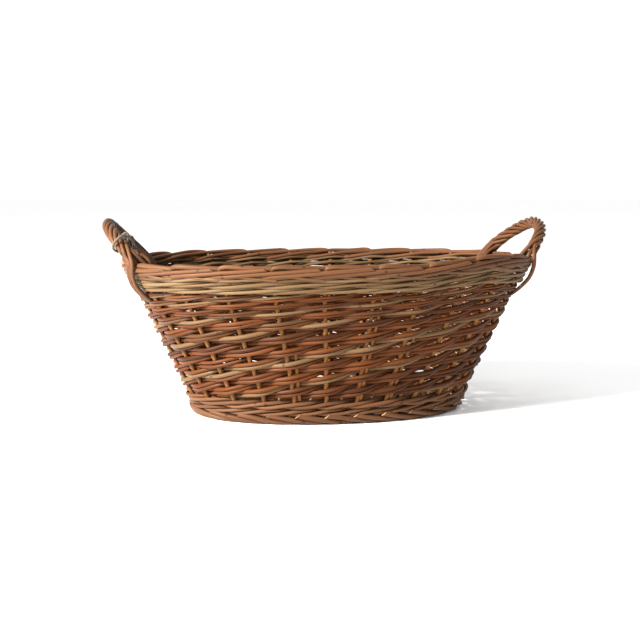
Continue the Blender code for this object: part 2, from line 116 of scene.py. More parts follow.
def wall_spots(angle, z):
    """Points on the wall's middle surface, with tangents, level normals and the wall's lean."""
    step = 1e-4
    radius = wall_radius(angle, z)
    growth = (wall_radius(angle + step, z) - wall_radius(angle - step, z)) / (2 * step)
    zero = np.zeros_like(radius)
    outward = np.stack([np.cos(angle), np.sin(angle), zero], axis=-1)
    sideways = np.stack([-np.sin(angle), np.cos(angle), zero], axis=-1)
    tangent = outward * growth[..., None] + sideways * radius[..., None]
    stretch = np.linalg.norm(tangent, axis=-1)
    tangent = tangent / stretch[..., None]
    normal = np.stack([tangent[..., 1], -tangent[..., 0], zero], axis=-1)
    foot, rim = foot_and_rim(angle)
    slope = (rim - foot) / (RIM_LEVEL - FOOT_LEVEL) * (outward * normal).sum(axis=-1)
    points = outward * radius[..., None] + UP * np.asarray(z)[..., None]
    return points, tangent, normal, stretch, slope


def stake_angles():
    angles = np.linspace(0, 2 * np.pi, 2881)
    radii = wall_radius(angles, WALL_HEIGHT / 2)
    points = np.stack([radii * np.cos(angles), radii * np.sin(angles)], axis=1)
    girth = np.concatenate([[0], np.cumsum(np.linalg.norm(np.diff(points, axis=0), axis=1))])
    return np.interp((np.arange(STAKE_COUNT) + 0.5) / STAKE_COUNT * girth[-1], girth, angles)


STAKES = stake_angles()


def angle_at(place):
    """Angle at a fractional stake number, over any number of turns."""
    place = np.asarray(place, dtype=float)
    turns = np.floor(place / STAKE_COUNT)
    ring = np.append(STAKES, STAKES[0] + 2 * np.pi)
    return np.interp(place - turns * STAKE_COUNT, range(STAKE_COUNT + 1), ring) + turns * 2 * np.pi


def on_wall(place, z, out, upright=False):
    """Points beside the wall; out runs square to it, or level when upright is set."""
    points, _, normal, _, slope = wall_spots(angle_at(place), np.asarray(z, dtype=float))
    if upright:
        return points + normal * np.asarray(out)[..., None]
    lean = np.arctan(slope)[..., None]
    return points + (normal * np.cos(lean) - UP * np.sin(lean)) * np.asarray(out)[..., None]


def through(knots, steps):
    """Rows on a smooth line through the knots, with so many steps from knot to knot."""
    knots = np.array(knots, dtype=float)
    padded = np.vstack([2 * knots[0] - knots[1], knots, 2 * knots[-1] - knots[-2]])
    t = (np.arange(steps) / steps)[:, None]
    rows = []
    for place in range(len(knots) - 1):
        before, start, end, after = padded[place:place + 4]
        rows.append(0.5 * (2 * start + (end - before) * t
                           + (2 * before - 5 * start + 4 * end - after) * t ** 2
                           + (3 * start - before - 3 * end + after) * t ** 3))
    return np.vstack(rows + [knots[-1:]])


def lengths_along(points):
    return np.concatenate([[0], np.cumsum(np.linalg.norm(np.diff(points, axis=0), axis=1))])


def spread_evenly(points, count):
    lengths = lengths_along(points)
    even = np.linspace(0, lengths[-1], count)
    return np.stack([np.interp(even, lengths, points[:, axis]) for axis in range(3)], axis=1)


def settle(points, sizes):
    """The slight lift of the rim towards its right front, as a hand-woven edge has."""
    angle = np.degrees(np.arctan2(points[:, 1], points[:, 0]))
    share = np.clip(points[:, 2] / WALL_HEIGHT, 0, 1.2) ** 2
    right_front = np.exp(-((angle + 38) / 13) ** 2 / 2)
    left_front = np.exp(-((angle + 158) / 12) ** 2 / 2)
    points = points.copy()
    points[:, 2] += share * (sizes.rim_lift * right_front - 0.25 * sizes.rim_lift * left_front)
    return points


# ---------------------------------------------------------------- rods, and the tree that thickens them

def linked(name, data):
    """A new object in the scene."""
    made = bpy.data.objects.new(name, data)
    bpy.context.scene.collection.objects.link(made)
    return made


class Rod:
    """One willow rod: its line, its thickness along it, and its own colouring."""

    def __init__(self, points, radii, tone, pale=0.0, cut=None):
        self.points = np.asarray(points, dtype=float)
        self.radii = np.broadcast_to(np.asarray(radii, dtype=float), (len(self.points),)).copy()
        self.look = (float(tone), float(pale))
        self.cut = cut or {}


def add_node(tree, kind, **settings):
    made = tree.nodes.new(kind)
    for name, value in settings.items():
        setattr(made, name, value)
    return made


def wired(tree, kind, inputs, **settings):
    """A node whose inputs are linked, where a socket is given, or set."""
    made = add_node(tree, kind, **settings)
    for name, value in inputs.items():
        if isinstance(value, bpy.types.NodeSocket):
            tree.links.new(value, made.inputs[name])
        else:
            made.inputs[name].default_value = value
    return made.outputs


def named(tree, name, kind):
    return wired(tree, "GeometryNodeInputNamedAttribute", {"Name": name}, data_type=kind)[0]


def captured(tree, geometry, *items):
    """Geometry that keeps the fields it has now; its outputs follow the items."""
    held = add_node(tree, "GeometryNodeCaptureAttribute")
    for kind, name, _ in items:
        held.capture_items.new(kind, name)
    tree.links.new(geometry, held.inputs["Geometry"])
    for number, (_, _, value) in enumerate(items, 1):
        tree.links.new(value, held.inputs[number])
    return held.outputs


def rod_tree():
    """Thickens every line into a rod by its own radius, with sawn or slanted ends."""
    found = bpy.data.node_groups.get("Rods along lines")
    if found:
        return found
    tree = bpy.data.node_groups.new("Rods along lines", "GeometryNodeTree")
    for title, way, kind in (("Lines", "INPUT", "Geometry"), ("Sides", "INPUT", "Int"),
                             ("Thickness", "INPUT", "Float"), ("Finish", "INPUT", "Material"),
                             ("Rods", "OUTPUT", "Geometry")):
        tree.interface.new_socket(title, in_out=way, socket_type="NodeSocket" + kind)
    given = add_node(tree, "NodeGroupInput").outputs
    position = add_node(tree, "GeometryNodeInputPosition").outputs[0]
    tangent = add_node(tree, "GeometryNodeInputTangent").outputs[0]
    along = add_node(tree, "GeometryNodeSplineParameter").outputs["Length"]

    lines = wired(tree, "GeometryNodeMeshToCurve", {"Mesh": given["Lines"]})["Curve"]
    held = captured(tree, lines, ("VECTOR", "Middle", position), ("VECTOR", "Forward", tangent),
                    ("FLOAT", "Along", along))
    circle = wired(tree, "GeometryNodeCurvePrimitiveCircle",
                   {"Radius": 1.0, "Resolution": given["Sides"]})["Curve"]
    around = captured(tree, circle, ("VECTOR", "Around", position))
    thick = wired(tree, "ShaderNodeMath",
                  {0: named(tree, "rod_radius", "FLOAT"), 1: given["Thickness"]},
                  operation="MULTIPLY")[0]
    sweep = wired(tree, "GeometryNodeCurveToMesh",
                  {"Fill Caps": True, "Curve": held["Geometry"],
                   "Profile Curve": around["Geometry"], "Scale": thick})["Mesh"]

    # An end is slanted by moving each of its points forward, by how far it lies along the slant
    from_middle = wired(tree, "ShaderNodeVectorMath", {0: position, 1: held[1]},
                        operation="SUBTRACT")["Vector"]
    reach = wired(tree, "ShaderNodeVectorMath",
                  {0: from_middle, 1: named(tree, "rod_slant", "FLOAT_VECTOR")},
                  operation="DOT_PRODUCT")["Value"]
    slant = wired(tree, "ShaderNodeVectorMath", {0: held[2], "Scale": reach},
                  operation="SCALE")["Vector"]
    slanted = wired(tree, "GeometryNodeSetPosition", {"Geometry": sweep, "Offset": slant})[0]

    # Each point keeps its place on its rod: two numbers round it and its distance along it
    split = wired(tree, "ShaderNodeSeparateXYZ", {0: around[1]})
    spot = wired(tree, "ShaderNodeCombineXYZ", {"X": split["X"], "Y": split["Y"], "Z": held[3]})[0]
    placed = wired(tree, "GeometryNodeStoreNamedAttribute",
                   {"Name": "rod_place", "Geometry": slanted, "Value": spot},
                   data_type="FLOAT_VECTOR", domain="POINT")["Geometry"]

    # Only an end has more than four corners
    corners = add_node(tree, "GeometryNodeInputMeshFaceNeighbors").outputs["Vertex Count"]
    is_end = wired(tree, "FunctionNodeCompare", {2: corners, 3: 4},
                   data_type="INT", operation="GREATER_THAN")["Result"]
    marked = wired(tree, "GeometryNodeStoreNamedAttribute",
                   {"Name": "cut_face", "Geometry": placed, "Value": is_end},
                   data_type="FLOAT", domain="FACE")["Geometry"]
    not_end = wired(tree, "FunctionNodeBooleanMath", {0: is_end}, operation="NOT")[0]
    smooth = wired(tree, "GeometryNodeSetShadeSmooth",
                   {"Geometry": marked, "Shade Smooth": not_end}, domain="FACE")["Geometry"]
    real = wired(tree, "GeometryNodeRealizeInstances", {"Geometry": smooth})["Geometry"]
    finished = wired(tree, "GeometryNodeSetMaterial",
                     {"Geometry": real, "Material": given["Finish"]})["Geometry"]
    wired(tree, "NodeGroupOutput", {"Rods": finished})
    return tree


def set_input(modifier, name, value):
    for item in modifier.node_group.interface.items_tree:
        if item.item_type == "SOCKET" and item.in_out == "INPUT" and item.name == name:
            modifier[item.identifier] = value
            return
    raise ValueError(f"the tree has no input named {name}")


def lines_mesh(name, rods, sizes):
    """A mesh of bare lines that carries each rod's radius, colouring and slanted cuts."""
    mesh = bpy.data.meshes.new(name)
    points, edges, radii, looks, slants = [], [], [], [], []
    for number, rod in enumerate(rods):
        first = len(radii)
        count = len(rod.points)
        points.append(settle(rod.points, sizes))
        edges += [(first + k, first + k + 1) for k in range(count - 1)]
        radii += list(rod.radii)
        seed = (number * 0.6180339887) % 1.0
        looks += [(rod.look[0], rod.look[1], seed)] * count
        slant = np.zeros((count, 3))
        for end, lean in rod.cut.items():
            slant[end] = lean
        slants += list(slant)
    mesh.from_pydata(np.vstack(points).tolist(), edges, [])
    for title, kind, values in (("rod_radius", "FLOAT", radii),
                                ("rod_look", "FLOAT_VECTOR", looks),
                                ("rod_slant", "FLOAT_VECTOR", slants)):
        layer = mesh.attributes.new(title, kind, "POINT")
        key = "value" if kind == "FLOAT" else "vector"
        layer.data.foreach_set(key, np.array(values, dtype=np.float32).ravel())
    return mesh


def make_rods(name, rods, finish, sizes, sides):
    """Turns the rods' lines into one plain mesh object with its place in its mesh."""
    holder = linked(name + "_lines", lines_mesh(name + "_lines", rods, sizes))
    modifier = holder.modifiers.new("Rods along lines", "NODES")
    modifier.node_group = rod_tree()
    set_input(modifier, "Sides", sides)
    set_input(modifier, "Thickness", 1.0)
    set_input(modifier, "Finish", finish)
    view = bpy.context.evaluated_depsgraph_get()
    view.update()
    mesh = bpy.data.meshes.new_from_object(holder.evaluated_get(view))
    mesh.name = name
    lines = holder.data
    bpy.data.objects.remove(holder, do_unlink=True)
    bpy.data.meshes.remove(lines)
    for title in ("rod_radius", "rod_slant"):
        mesh.attributes.remove(mesh.attributes[title])
    if not len(mesh.polygons):
        raise RuntimeError(f"{name} came out empty")
    return linked(name, mesh)


def settle_in(piece, slot_name, *nodes):
    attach(piece, "root")
    if nodes:
        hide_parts(*nodes)


def add_rods(name, rods, finish, user, slot_name, *nodes, sides=None):
    """Makes the rods one piece in its finish, in the place of the solid model's nodes."""
    sizes, colours = user
    piece = make_rods(name, rods, finish_of(finish, colours), sizes, sides or sizes.rod_sides)
    settle_in(piece, slot_name, *nodes)


# ---------------------------------------------------------------- finishes

SEED_SPREAD, SCAR_SEED_SPREAD = (91.0, 37.0, 53.0), 71.0
SCAR_CORE, SCAR_REACH = 0.0008, 0.0022
SCAR_COLOUR, SAWN_COLOUR = (0.012, 0.005, 0.002), (0.26, 0.16, 0.085)

def attribute(material, name):
    return add_node(material.node_tree, "ShaderNodeAttribute", attribute_name=name).outputs


def fresh_material(name):
    made = bpy.data.materials.new(name)
    made.use_nodes = True
    shader = made.node_tree.nodes["Principled BSDF"]
    return made, shader


def noise(material, vector, scale, detail, rough=0.5):
    return wired(material.node_tree, "ShaderNodeTexNoise",
                 {"Scale": scale, "Detail": detail, "Roughness": rough, "Vector": vector})["Fac"]


def maths(material, operation, *values, clamp=False):
    return wired(material.node_tree, "ShaderNodeMath", dict(enumerate(values)),
                 operation=operation, use_clamp=clamp)[0]


def between(material, value, low, high, new_low=0.0, new_high=1.0):
    return wired(material.node_tree, "ShaderNodeMapRange",
                 {"Value": value, "From Min": low, "From Max": high,
                  "To Min": new_low, "To Max": new_high},
                 interpolation_type="SMOOTHSTEP")["Result"]


def blend(material, amount, first, second):
    """Mixes two colours, each a socket or three numbers."""
    first, second = ((*c[:3], 1.0) if isinstance(c, tuple) else c for c in (first, second))
    return wired(material.node_tree, "ShaderNodeMix", {"Factor": amount, 6: first, 7: second},
                 data_type="RGBA")[2]


def relief(material, shader, height, strength, distance):
    bump = wired(material.node_tree, "ShaderNodeBump",
                 {"Strength": strength, "Distance": distance, "Height": height})
    material.node_tree.links.new(bump["Normal"], shader.inputs["Normal"])


def rod_vector(material, across, along):
    """Place on a rod as a 3-D vector, stretched along it and different on every rod."""
    tree = material.node_tree
    place = attribute(material, "rod_place")["Vector"]
    look = wired(tree, "ShaderNodeSeparateXYZ", {0: attribute(material, "rod_look")["Vector"]})
    scaled = wired(tree, "ShaderNodeVectorMath", {0: place, 1: (across, across, along)},
                   operation="MULTIPLY")["Vector"]
    apart = wired(tree, "ShaderNodeVectorMath", {0: look["Z"], 1: SEED_SPREAD, 2: scaled},
                  operation="MULTIPLY_ADD")["Vector"]
    return apart, place, look


def leaf_scars(material, place, look, spacing):
    """One small dark bud scar every spacing or so, each at its own side of the rod."""
    tree = material.node_tree
    split = wired(tree, "ShaderNodeSeparateXYZ", {0: place})
    run = maths(material, "MULTIPLY_ADD", split["Z"], 1.0 / spacing,
                maths(material, "MULTIPLY", look["Z"], SCAR_SEED_SPREAD))
    cells = wired(tree, "ShaderNodeTexVoronoi", {"Scale": 1.0, "W": run},
                  voronoi_dimensions="1D")
    colour = wired(tree, "ShaderNodeSeparateColor", {0: cells["Color"]})
    turn = maths(material, "MULTIPLY", colour["Red"], 2 * math.pi)
    facing = maths(material, "ADD",
                   maths(material, "MULTIPLY", split["X"], maths(material, "COSINE", turn)),
                   maths(material, "MULTIPLY", split["Y"], maths(material, "SINE", turn)))
    near = between(material, cells["Distance"], SCAR_CORE / spacing, SCAR_REACH / spacing, 1, 0)
    side = between(material, facing, 0.70, 0.93)
    return maths(material, "MULTIPLY", near, side)


def willow_finish(name, dark, light, straw, scar_spacing=0.045, roughness=0.5, grain=0.35):
    """Bark of a boiled rod: streaks and blotches along it, bud scars, pale sawn ends."""
    made, shader = fresh_material(name)
    join = made.node_tree.links.new
    wide, place, look = rod_vector(made, 0.9, 11.0)
    blotch = noise(made, wide, 1.0, 3.0, 0.6)
    streak = noise(made, rod_vector(made, 4.0, 55.0)[0], 1.0, 4.0, 0.6)
    fibre = noise(made, rod_vector(made, 11.0, 130.0)[0], 1.0, 3.0, 0.65)
    tone = maths(made, "ADD", look["X"], maths(made, "MULTIPLY_ADD", blotch, 1.1, -0.55))
    tone = maths(made, "ADD", tone, maths(made, "MULTIPLY_ADD", streak, 0.7, -0.35), clamp=True)
    bark = blend(made, tone, dark, light)
    paleness = maths(made, "ADD", look["Y"],
                     maths(made, "MULTIPLY_ADD", blotch, 0.5, -0.25), clamp=True)
    bark = blend(made, paleness, bark, straw)
    fleck = between(made, fibre, 0.30, 0.48, 1, 0)
    bark = blend(made, maths(made, "MULTIPLY", fleck, 0.35), bark, tuple(c * 0.45 for c in dark))
    scars = leaf_scars(made, place, look, scar_spacing)
    bark = blend(made, maths(made, "MULTIPLY", scars, 0.8), bark, SCAR_COLOUR)
    bark = blend(made, attribute(made, "cut_face")["Fac"], bark, SAWN_COLOUR)
    join(bark, shader.inputs["Base Color"])
    rough = maths(made, "MULTIPLY_ADD", streak, 0.35, roughness - 0.17, clamp=True)
    join(rough, shader.inputs["Roughness"])
    shader.inputs["Specular IOR Level"].default_value = 0.13
    shader.inputs["Specular Tint"].default_value = (1.0, 0.80, 0.60, 1.0)
    height = maths(made, "ADD", maths(made, "MULTIPLY", fibre, 0.55),
                   maths(made, "MULTIPLY", streak, 0.6))
    height = maths(made, "ADD", height, maths(made, "MULTIPLY", scars, 0.7))
    relief(made, shader, height, grain, 0.0004)
    return made


def twine_finish(colour):
    made, shader = fresh_material("Jute twine")
    join = made.node_tree.links.new
    fibres, _, _ = rod_vector(made, 3.0, 900.0)
    strands = noise(made, fibres, 1.0, 4.0, 0.7)
    dark = tuple(c * 0.45 for c in colour)
    light = tuple(min(1.0, c * 1.35) for c in colour)
    join(blend(made, between(made, strands, 0.3, 0.7), dark, light), shader.inputs["Base Color"])
    shader.inputs["Roughness"].default_value = 0.9
    shader.inputs["Sheen Weight"].default_value = 0.08
    relief(made, shader, strands, 0.6, 0.0003)
    return made


def card_finish(colour):
    made, shader = fresh_material("Tag card")
    join = made.node_tree.links.new
    where = add_node(made.node_tree, "ShaderNodeTexCoord")
    flecks = noise(made, where.outputs["Object"], 900.0, 5.0, 0.7)
    dusk = tuple(c * 0.82 for c in colour)
    join(blend(made, between(made, flecks, 0.35, 0.65), dusk, colour),
         shader.inputs["Base Color"])
    shader.inputs["Roughness"].default_value = 0.75
    relief(made, shader, flecks, 0.25, 0.0001)
    return made


def stage_finish(colour):
    made, shader = fresh_material("Studio paper")
    join = made.node_tree.links.new
    where = add_node(made.node_tree, "ShaderNodeTexCoord")
    soft = noise(made, where.outputs["Object"], 3.0, 2.0)
    join(blend(made, soft, tuple(c * 0.985 for c in colour), colour),
         shader.inputs["Base Color"])
    shader.inputs["Roughness"].default_value = 0.95
    return made


# ---------------------------------------------------------------- what a user may change

def length_choice(name, description, default, low, high):
    return FloatProperty(name=name, description=description, default=default, min=low, max=high,
                         unit="LENGTH")


class BasketSizes(bpy.types.PropertyGroup):
    """Rod thicknesses and hand-made unevenness."""

    weaver: length_choice("Weaver", "Butt thickness of the side's rods", 0.0046, 0.002, 0.007)
    weaver_tip: length_choice("Weaver tip", "Thickness of those rods at the top",
                              0.0031, 0.001, 0.006)
    stake: length_choice("Stake", "Thickness of an upright rod", 0.0050, 0.002, 0.008)
    wale: length_choice("Upsett rod", "Thickness of the rods over the foot",
                        0.0040, 0.002, 0.006)
    pale_wale: length_choice("Pale rod", "Thickness of the pale rods under the rim",
                             0.0038, 0.002, 0.006)
    border: length_choice("Border rod", "Thickness of the rods of both borders",
                          0.0049, 0.002, 0.007)
    rope: length_choice("Rope rod", "Thickness of the rods round the handles",
                        0.0044, 0.002, 0.006)
    twine: length_choice("Twine", "Thickness of the tag's twine", 0.0030, 0.001, 0.005)
    rim_lift: length_choice("Rim lift", "How far the rim rises at its right front",
                            0.008, 0.0, 0.010)
    wobble: length_choice("Wobble", "How far rods stray from a perfect line",
                          0.00035, 0.0, 0.001)
    rod_sides: IntProperty(name="Rod sides", description="Flats round each rod",
                           default=9, min=6, max=16)


def colour_choice(name, description, default):
    return FloatVectorProperty(name=name, description=description, default=default,
                               size=3, min=0.0, max=1.0, subtype="COLOR")


class BasketColours(bpy.types.PropertyGroup):
    """Colours of the rods, the twine, the card and the studio."""

    bark_dark: colour_choice("Dark bark", "Darker side rods", (0.020, 0.0050, 0.0011))
    bark_light: colour_choice("Light bark", "Lighter side rods", (0.068, 0.0180, 0.0038))
    stake: colour_choice("Stake", "Upright rods", (0.128, 0.052, 0.0150))
    border: colour_choice("Border", "Rods of borders and handles", (0.077, 0.0310, 0.0135))
    pale: colour_choice("Pale rods", "Straw rods under the rim", (0.088, 0.051, 0.0235))
    straw: colour_choice("Straw", "The odd pale rod in the side", (0.080, 0.046, 0.0215))
    twine: colour_choice("Twine", "Jute of the tag's twine", (0.060, 0.046, 0.032))
    card: colour_choice("Card", "Blank card of the tag", (0.760, 0.790, 0.800))
    studio: colour_choice("Studio", "Pale floor", (0.930, 0.930, 0.930))


def chosen(context):
    return context.scene.basket_sizes, context.scene.basket_colours


def finish_of(name, colours):
    """Each finish is made once and shared."""
    found = bpy.data.materials.get(name)
    if found:
        return found
    straw = tuple(colours.straw)
    dark, light = tuple(colours.bark_dark), tuple(colours.bark_light)
    border, stake, pale = tuple(colours.border), tuple(colours.stake), tuple(colours.pale)
    if name == "Side willow":
        return willow_finish(name, dark, light, straw)
    if name == "Stake willow":
        return willow_finish(name, tuple(c * 0.62 for c in stake), stake, straw, 0.06)
    if name == "Border willow":
        return willow_finish(name, tuple(c * 0.55 for c in border), border, straw, 0.05, 0.48)
    if name == "Pale willow":
        return willow_finish(name, tuple(c * k for c, k in zip(pale, (0.62, 0.55, 0.50))),
                             pale, (0.150, 0.105, 0.055), 0.07, 0.42, 0.25)
    raise ValueError(f"no finish named {name}")


# ---------------------------------------------------------------- pieces

def wobbly(rng, count, amount):
    """Slow drift from knot to knot, never more than about twice the amount."""
    steps = rng.normal(0, amount, count)
    return np.convolve(np.pad(steps, 1, mode="edge"), (0.25, 0.5, 0.25), mode="valid")


def knobbly(rng, radii, amount=0.05):
    """Slight swellings along a rod."""
    count = len(radii)
    spots = rng.normal(0, amount, max(3, count // 6))
    swell = np.interp(np.linspace(0, 1, count), np.linspace(0, 1, len(spots)), spots)
    return np.asarray(radii) * (1 + swell)


# Short rods added beside stakes: place, lowest and highest point
ADDED_RODS = ((18.28, 0.03, 0.146), (19.3, 0.03, 0.10), (5.3, 0.03, 0.12),
              (8.28, 0.03, 0.15), (16.3, 0.03, 0.09), (22.3, 0.03, 0.13))
ADDED_ROD_SHIFT, ADDED_ROD_LEAN = -0.17, 0.10
STAKE_BOTTOM, STAKE_TOP = 0.006, RIM_LEVEL + 0.001


def make_stakes(user):
    sizes, _ = user
    rng = np.random.default_rng(11)
    rods = []
    for number in range(STAKE_COUNT):
        z = np.linspace(STAKE_BOTTOM, STAKE_TOP, 9)
        place = number + wobbly(rng, 9, 0.015)
        points = through(on_wall(place, z, np.zeros(9)), 3)
        radii = knobbly(rng, np.linspace(0.52, 0.46, len(points)) * sizes.stake)
        rods.append(Rod(points, radii, rng.uniform(0.35, 0.95)))
    for number, low, high in ADDED_RODS:
        z = np.linspace(low, high, 7)
        place = number + ADDED_ROD_LEAN * np.linspace(0, 1, 7)
        points = through(on_wall(place + ADDED_ROD_SHIFT, z, np.zeros(7)), 3)
        radii = np.linspace(0.45, 0.30, len(points)) * sizes.stake
        rods.append(Rod(points, radii, rng.uniform(0.4, 0.9), cut={-1: UP * 1.2}))
    add_rods("stakes", rods, "Stake willow", user, "willow_stake",
             *[f"stake_{number:02d}" for number in range(1, STAKE_COUNT + 1)])


# A side rod climbs past CLIMB stakes. It rises by STAKE_RISE outside a stake, dips by it inside,
# and swings out by PRESS of what would clear the stake. It thins between two shares of its
# length, where its steps shrink to THIN_STEP of the first.
CLIMB, STAKE_RISE, PRESS = 18, 0.0003, 0.82
THIN_FROM, THIN_TO, THIN_STEP = 0.50, 0.78, 0.56
FIRST_ROD_UP, LAST_ROD_DOWN = 0.0040, 0.0030


def thinning(share):
    """How much of its butt step a rod still climbs at this share of its length."""
    fall = np.clip((share - THIN_FROM) / (THIN_TO - THIN_FROM), 0, 1)
    return 1 - (1 - THIN_STEP) * fall * fall * (3 - 2 * fall)


def climb_table():
    shares = np.linspace(0, 1, 181)
    rise = np.concatenate([[0], np.cumsum(thinning((shares[1:] + shares[:-1]) / 2))])
    return shares, rise / rise[-1]


CLIMB_TABLE = climb_table()


def climb_height(k):
    """Height of a rod at its k-th stake; the steps shrink as the rods thin."""
    low, high = SIDE_LOW + FIRST_ROD_UP, SIDE_HIGH - LAST_ROD_DOWN
    return low + (high - low) * np.interp(k / CLIMB, *CLIMB_TABLE)


def weaver_radius(sizes, k):
    thin = (1 - thinning(np.clip(np.asarray(k) / CLIMB, 0, 1))) / (1 - THIN_STEP)
    return 0.5 * (sizes.weaver + (sizes.weaver_tip - sizes.weaver) * thin)


def side_rod_knots(rng, start, sizes, offset):
    """Knots (place, z, out) of one climbing rod: outside one stake, inside the next."""
    knots = []
    for half in range(-1, 2 * CLIMB + 2):
        k = half / 2
        z = climb_height(k)
        radius = float(weaver_radius(sizes, k))
        swing = (0.5 * sizes.stake + radius) * PRESS
        if half % 2:
            out = rng.normal(0, 0.0004)
            lift = 0.0
        else:
            outside = (half // 2) % 2 == 1
            out = swing if outside else -swing
            lift = STAKE_RISE if outside else -STAKE_RISE
        turn = offset[1] + rng.normal(0, 0.16)
        rise = climb_height(k + 0.5) - climb_height(k - 0.5)
        apart = 0.25 * rise if half % 2 else 0.98 * radius
        up = apart * offset[0] * math.cos(turn)
        outward = radius * offset[0] * math.sin(turn) * 0.5
        knots.append((start + k, z + lift + up + rng.normal(0, sizes.wobble * 0.5), out + outward))
    return knots


def make_side(user):
    sizes, _ = user
    rng = np.random.default_rng(23)
    rods = []
    for start in range(STAKE_COUNT):
        twist = rng.normal(0, 0.25)
        for half in (-1, 1):
            knots = side_rod_knots(rng, start, sizes, (half, twist))
            line = through(knots, 4)
            points = on_wall(line[:, 0], line[:, 1], line[:, 2])
            radii = weaver_radius(sizes, line[:, 0] - start) * rng.normal(1.0, 0.06)
            pale = rng.choice([0.0, 0.35, 0.9], p=[0.72, 0.16, 0.12])
            rods.append(Rod(points, knobbly(rng, radii, 0.04), rng.uniform(0.05, 0.95), pale,
                            cut={0: UP * 0.8, -1: UP * -0.8}))
    add_rods("side_weave", rods, "Side willow", user, "willow_side",
             *[f"side_course_{n}" for n in range(1, 7)])


def wale_rods(rng, sizes, middles, step, thickness, tones, pales, shade_and_brown=0.0):
    """Rounds of three rods, each outside two stakes and inside the third, rising as it goes."""
    swing = 0.5 * sizes.stake + 0.5 * thickness
    # Out from the wall and up, every half stake
    shape = ((swing, -0.5), (swing + 0.0006, 0.0), (swing, 0.5),
             (0.25 * swing, 0.48), (-swing, 0.1), (0.25 * swing, -0.45))
    rods = []
    for turn, middle in enumerate(middles):
        for phase in range(3):
            knots = []
            for part in range(-2, 2 * STAKE_COUNT + 3):
                along = part / 2 + 2
                out, up = shape[int(2 * (along % 3)) % 6]
                knots.append((phase + along + 7 * turn,
                              middle + up * step + rng.normal(0, sizes.wobble * 0.8),
                              out + rng.normal(0, 0.0002)))
            line = through(knots, 3)
            points = on_wall(line[:, 0], line[:, 1], line[:, 2])
            size = 0.5 * thickness * rng.normal(1.0, 0.05)
            radii = knobbly(rng, np.linspace(1.04, 0.92, len(points)) * size, 0.04)
            # Each higher round gets a darker tone: painted shade under the rim border, and a browner
            # tone standing in for the tips tucked there
            rods.append(Rod(points, radii, rng.uniform(*tones) - shade_and_brown * turn,
                            rng.uniform(*pales)))
    return rods


UPSETT_LEVELS, UPSETT_STEP = (0.0161, 0.0247), 0.0043
# The top wale's higher rounds are darkened towards the rim: painted shade under the border, and a
# browner tone standing in for the tucked tips
TOP_WALE_LEVELS, TOP_WALE_STEP, TOP_WALE_SHADE_AND_BROWN = (0.1568, 0.1630, 0.1692), 0.0033, 0.35


def make_upsett(user):
    sizes, _ = user
    rods = wale_rods(np.random.default_rng(31), sizes, UPSETT_LEVELS, UPSETT_STEP, sizes.wale,
                     (0.35, 1.0), (0.0, 0.12))
    add_rods("upsett_weave", rods, "Border willow", user, "willow_border", "upsett_wale")


def make_top_wale(user):
    sizes, _ = user
    rods = wale_rods(np.random.default_rng(37), sizes, TOP_WALE_LEVELS, TOP_WALE_STEP,
                     sizes.pale_wale, (0.5, 1.0), (0.0, 0.3), TOP_WALE_SHADE_AND_BROWN)
    add_rods("pale_wale", rods, "Pale willow", user, "willow_pale", "top_wale")


# One rim rod, stake by stake: place, out from the border's middle, up from it (mm)
RIM_ROD = ((-0.03, 0.0, -10.0), (-0.01, 0.0, -4.0), (0.02, 0.6, 2.6), (0.16, 1.8, 5.2),
           (0.50, 2.0, 4.8), (0.95, 0.4, 3.4), (1.35, -2.6, 2.2), (1.75, -4.9, 1.0),
           (2.15, -4.8, -1.8), (2.45, -1.6, -4.4), (2.70, 2.6, -5.0), (3.00, 5.0, -4.4),
           (3.50, 5.6, -2.7), (4.00, 5.4, -0.8), (4.50, 5.0, 1.2), (4.85, 4.4, 2.4))

# A tip tucked out under the rim, its end trimmed on the slant
RIM_TIP = ((0.10, 3.2, -3.5), (0.40, 5.4, -5.4), (0.75, 5.8, -7.4), (1.00, 5.6, -8.8))


def border_rods(rng, sizes, shape, level, thickness, tones, cut, pales=(0.0, 0.1)):
    rods = []
    for number in range(STAKE_COUNT):
        drift = rng.normal(0, 0.05)
        knots = []
        for along, out, up in shape:
            stray = drift * min(1.0, abs(along))
            knots.append((number + along + stray,
                          level + up / 1000 + rng.normal(0, sizes.wobble * 0.7),
                          out / 1000 + rng.normal(0, sizes.wobble * 0.4)))
        line = through(knots, 4)
        points = on_wall(line[:, 0], line[:, 1], line[:, 2], upright=True)
        radii = np.linspace(1.06, 0.92, len(points)) * 0.5 * thickness * rng.normal(1.0, 0.05)
        rods.append(Rod(points, knobbly(rng, radii, 0.03), rng.uniform(*tones),
                        rng.uniform(*pales), cut=cut))
    return rods


def make_rim_border(user):
    sizes, _ = user
    rng = np.random.default_rng(41)
    rods = border_rods(rng, sizes, RIM_ROD, RIM_LEVEL, sizes.border, (0.35, 1.0),
                       {-1: UP * -1.1})
    rods += border_rods(rng, sizes, RIM_TIP, RIM_LEVEL, sizes.border * 0.68, (0.6, 1.0),
                        {-1: UP * 1.4}, (0.1, 0.5))
    add_rods("rim_border_rods", rods, "Border willow", user, "willow_border", "rim_border")


# One foot rod, from its sawn end by the upsett, down and under, and up inside (mm)
FOOT_ROD = ((0.00, 6.6, 5.2), (0.40, 6.8, 3.0), (0.90, 6.2, -0.4), (1.40, 4.6, -2.6),
            (1.90, 1.5, -3.2), (2.50, -2.6, -3.0), (3.00, -4.2, -0.6), (3.40, -3.2, 2.4),
            (3.60, -1.0, 5.2))


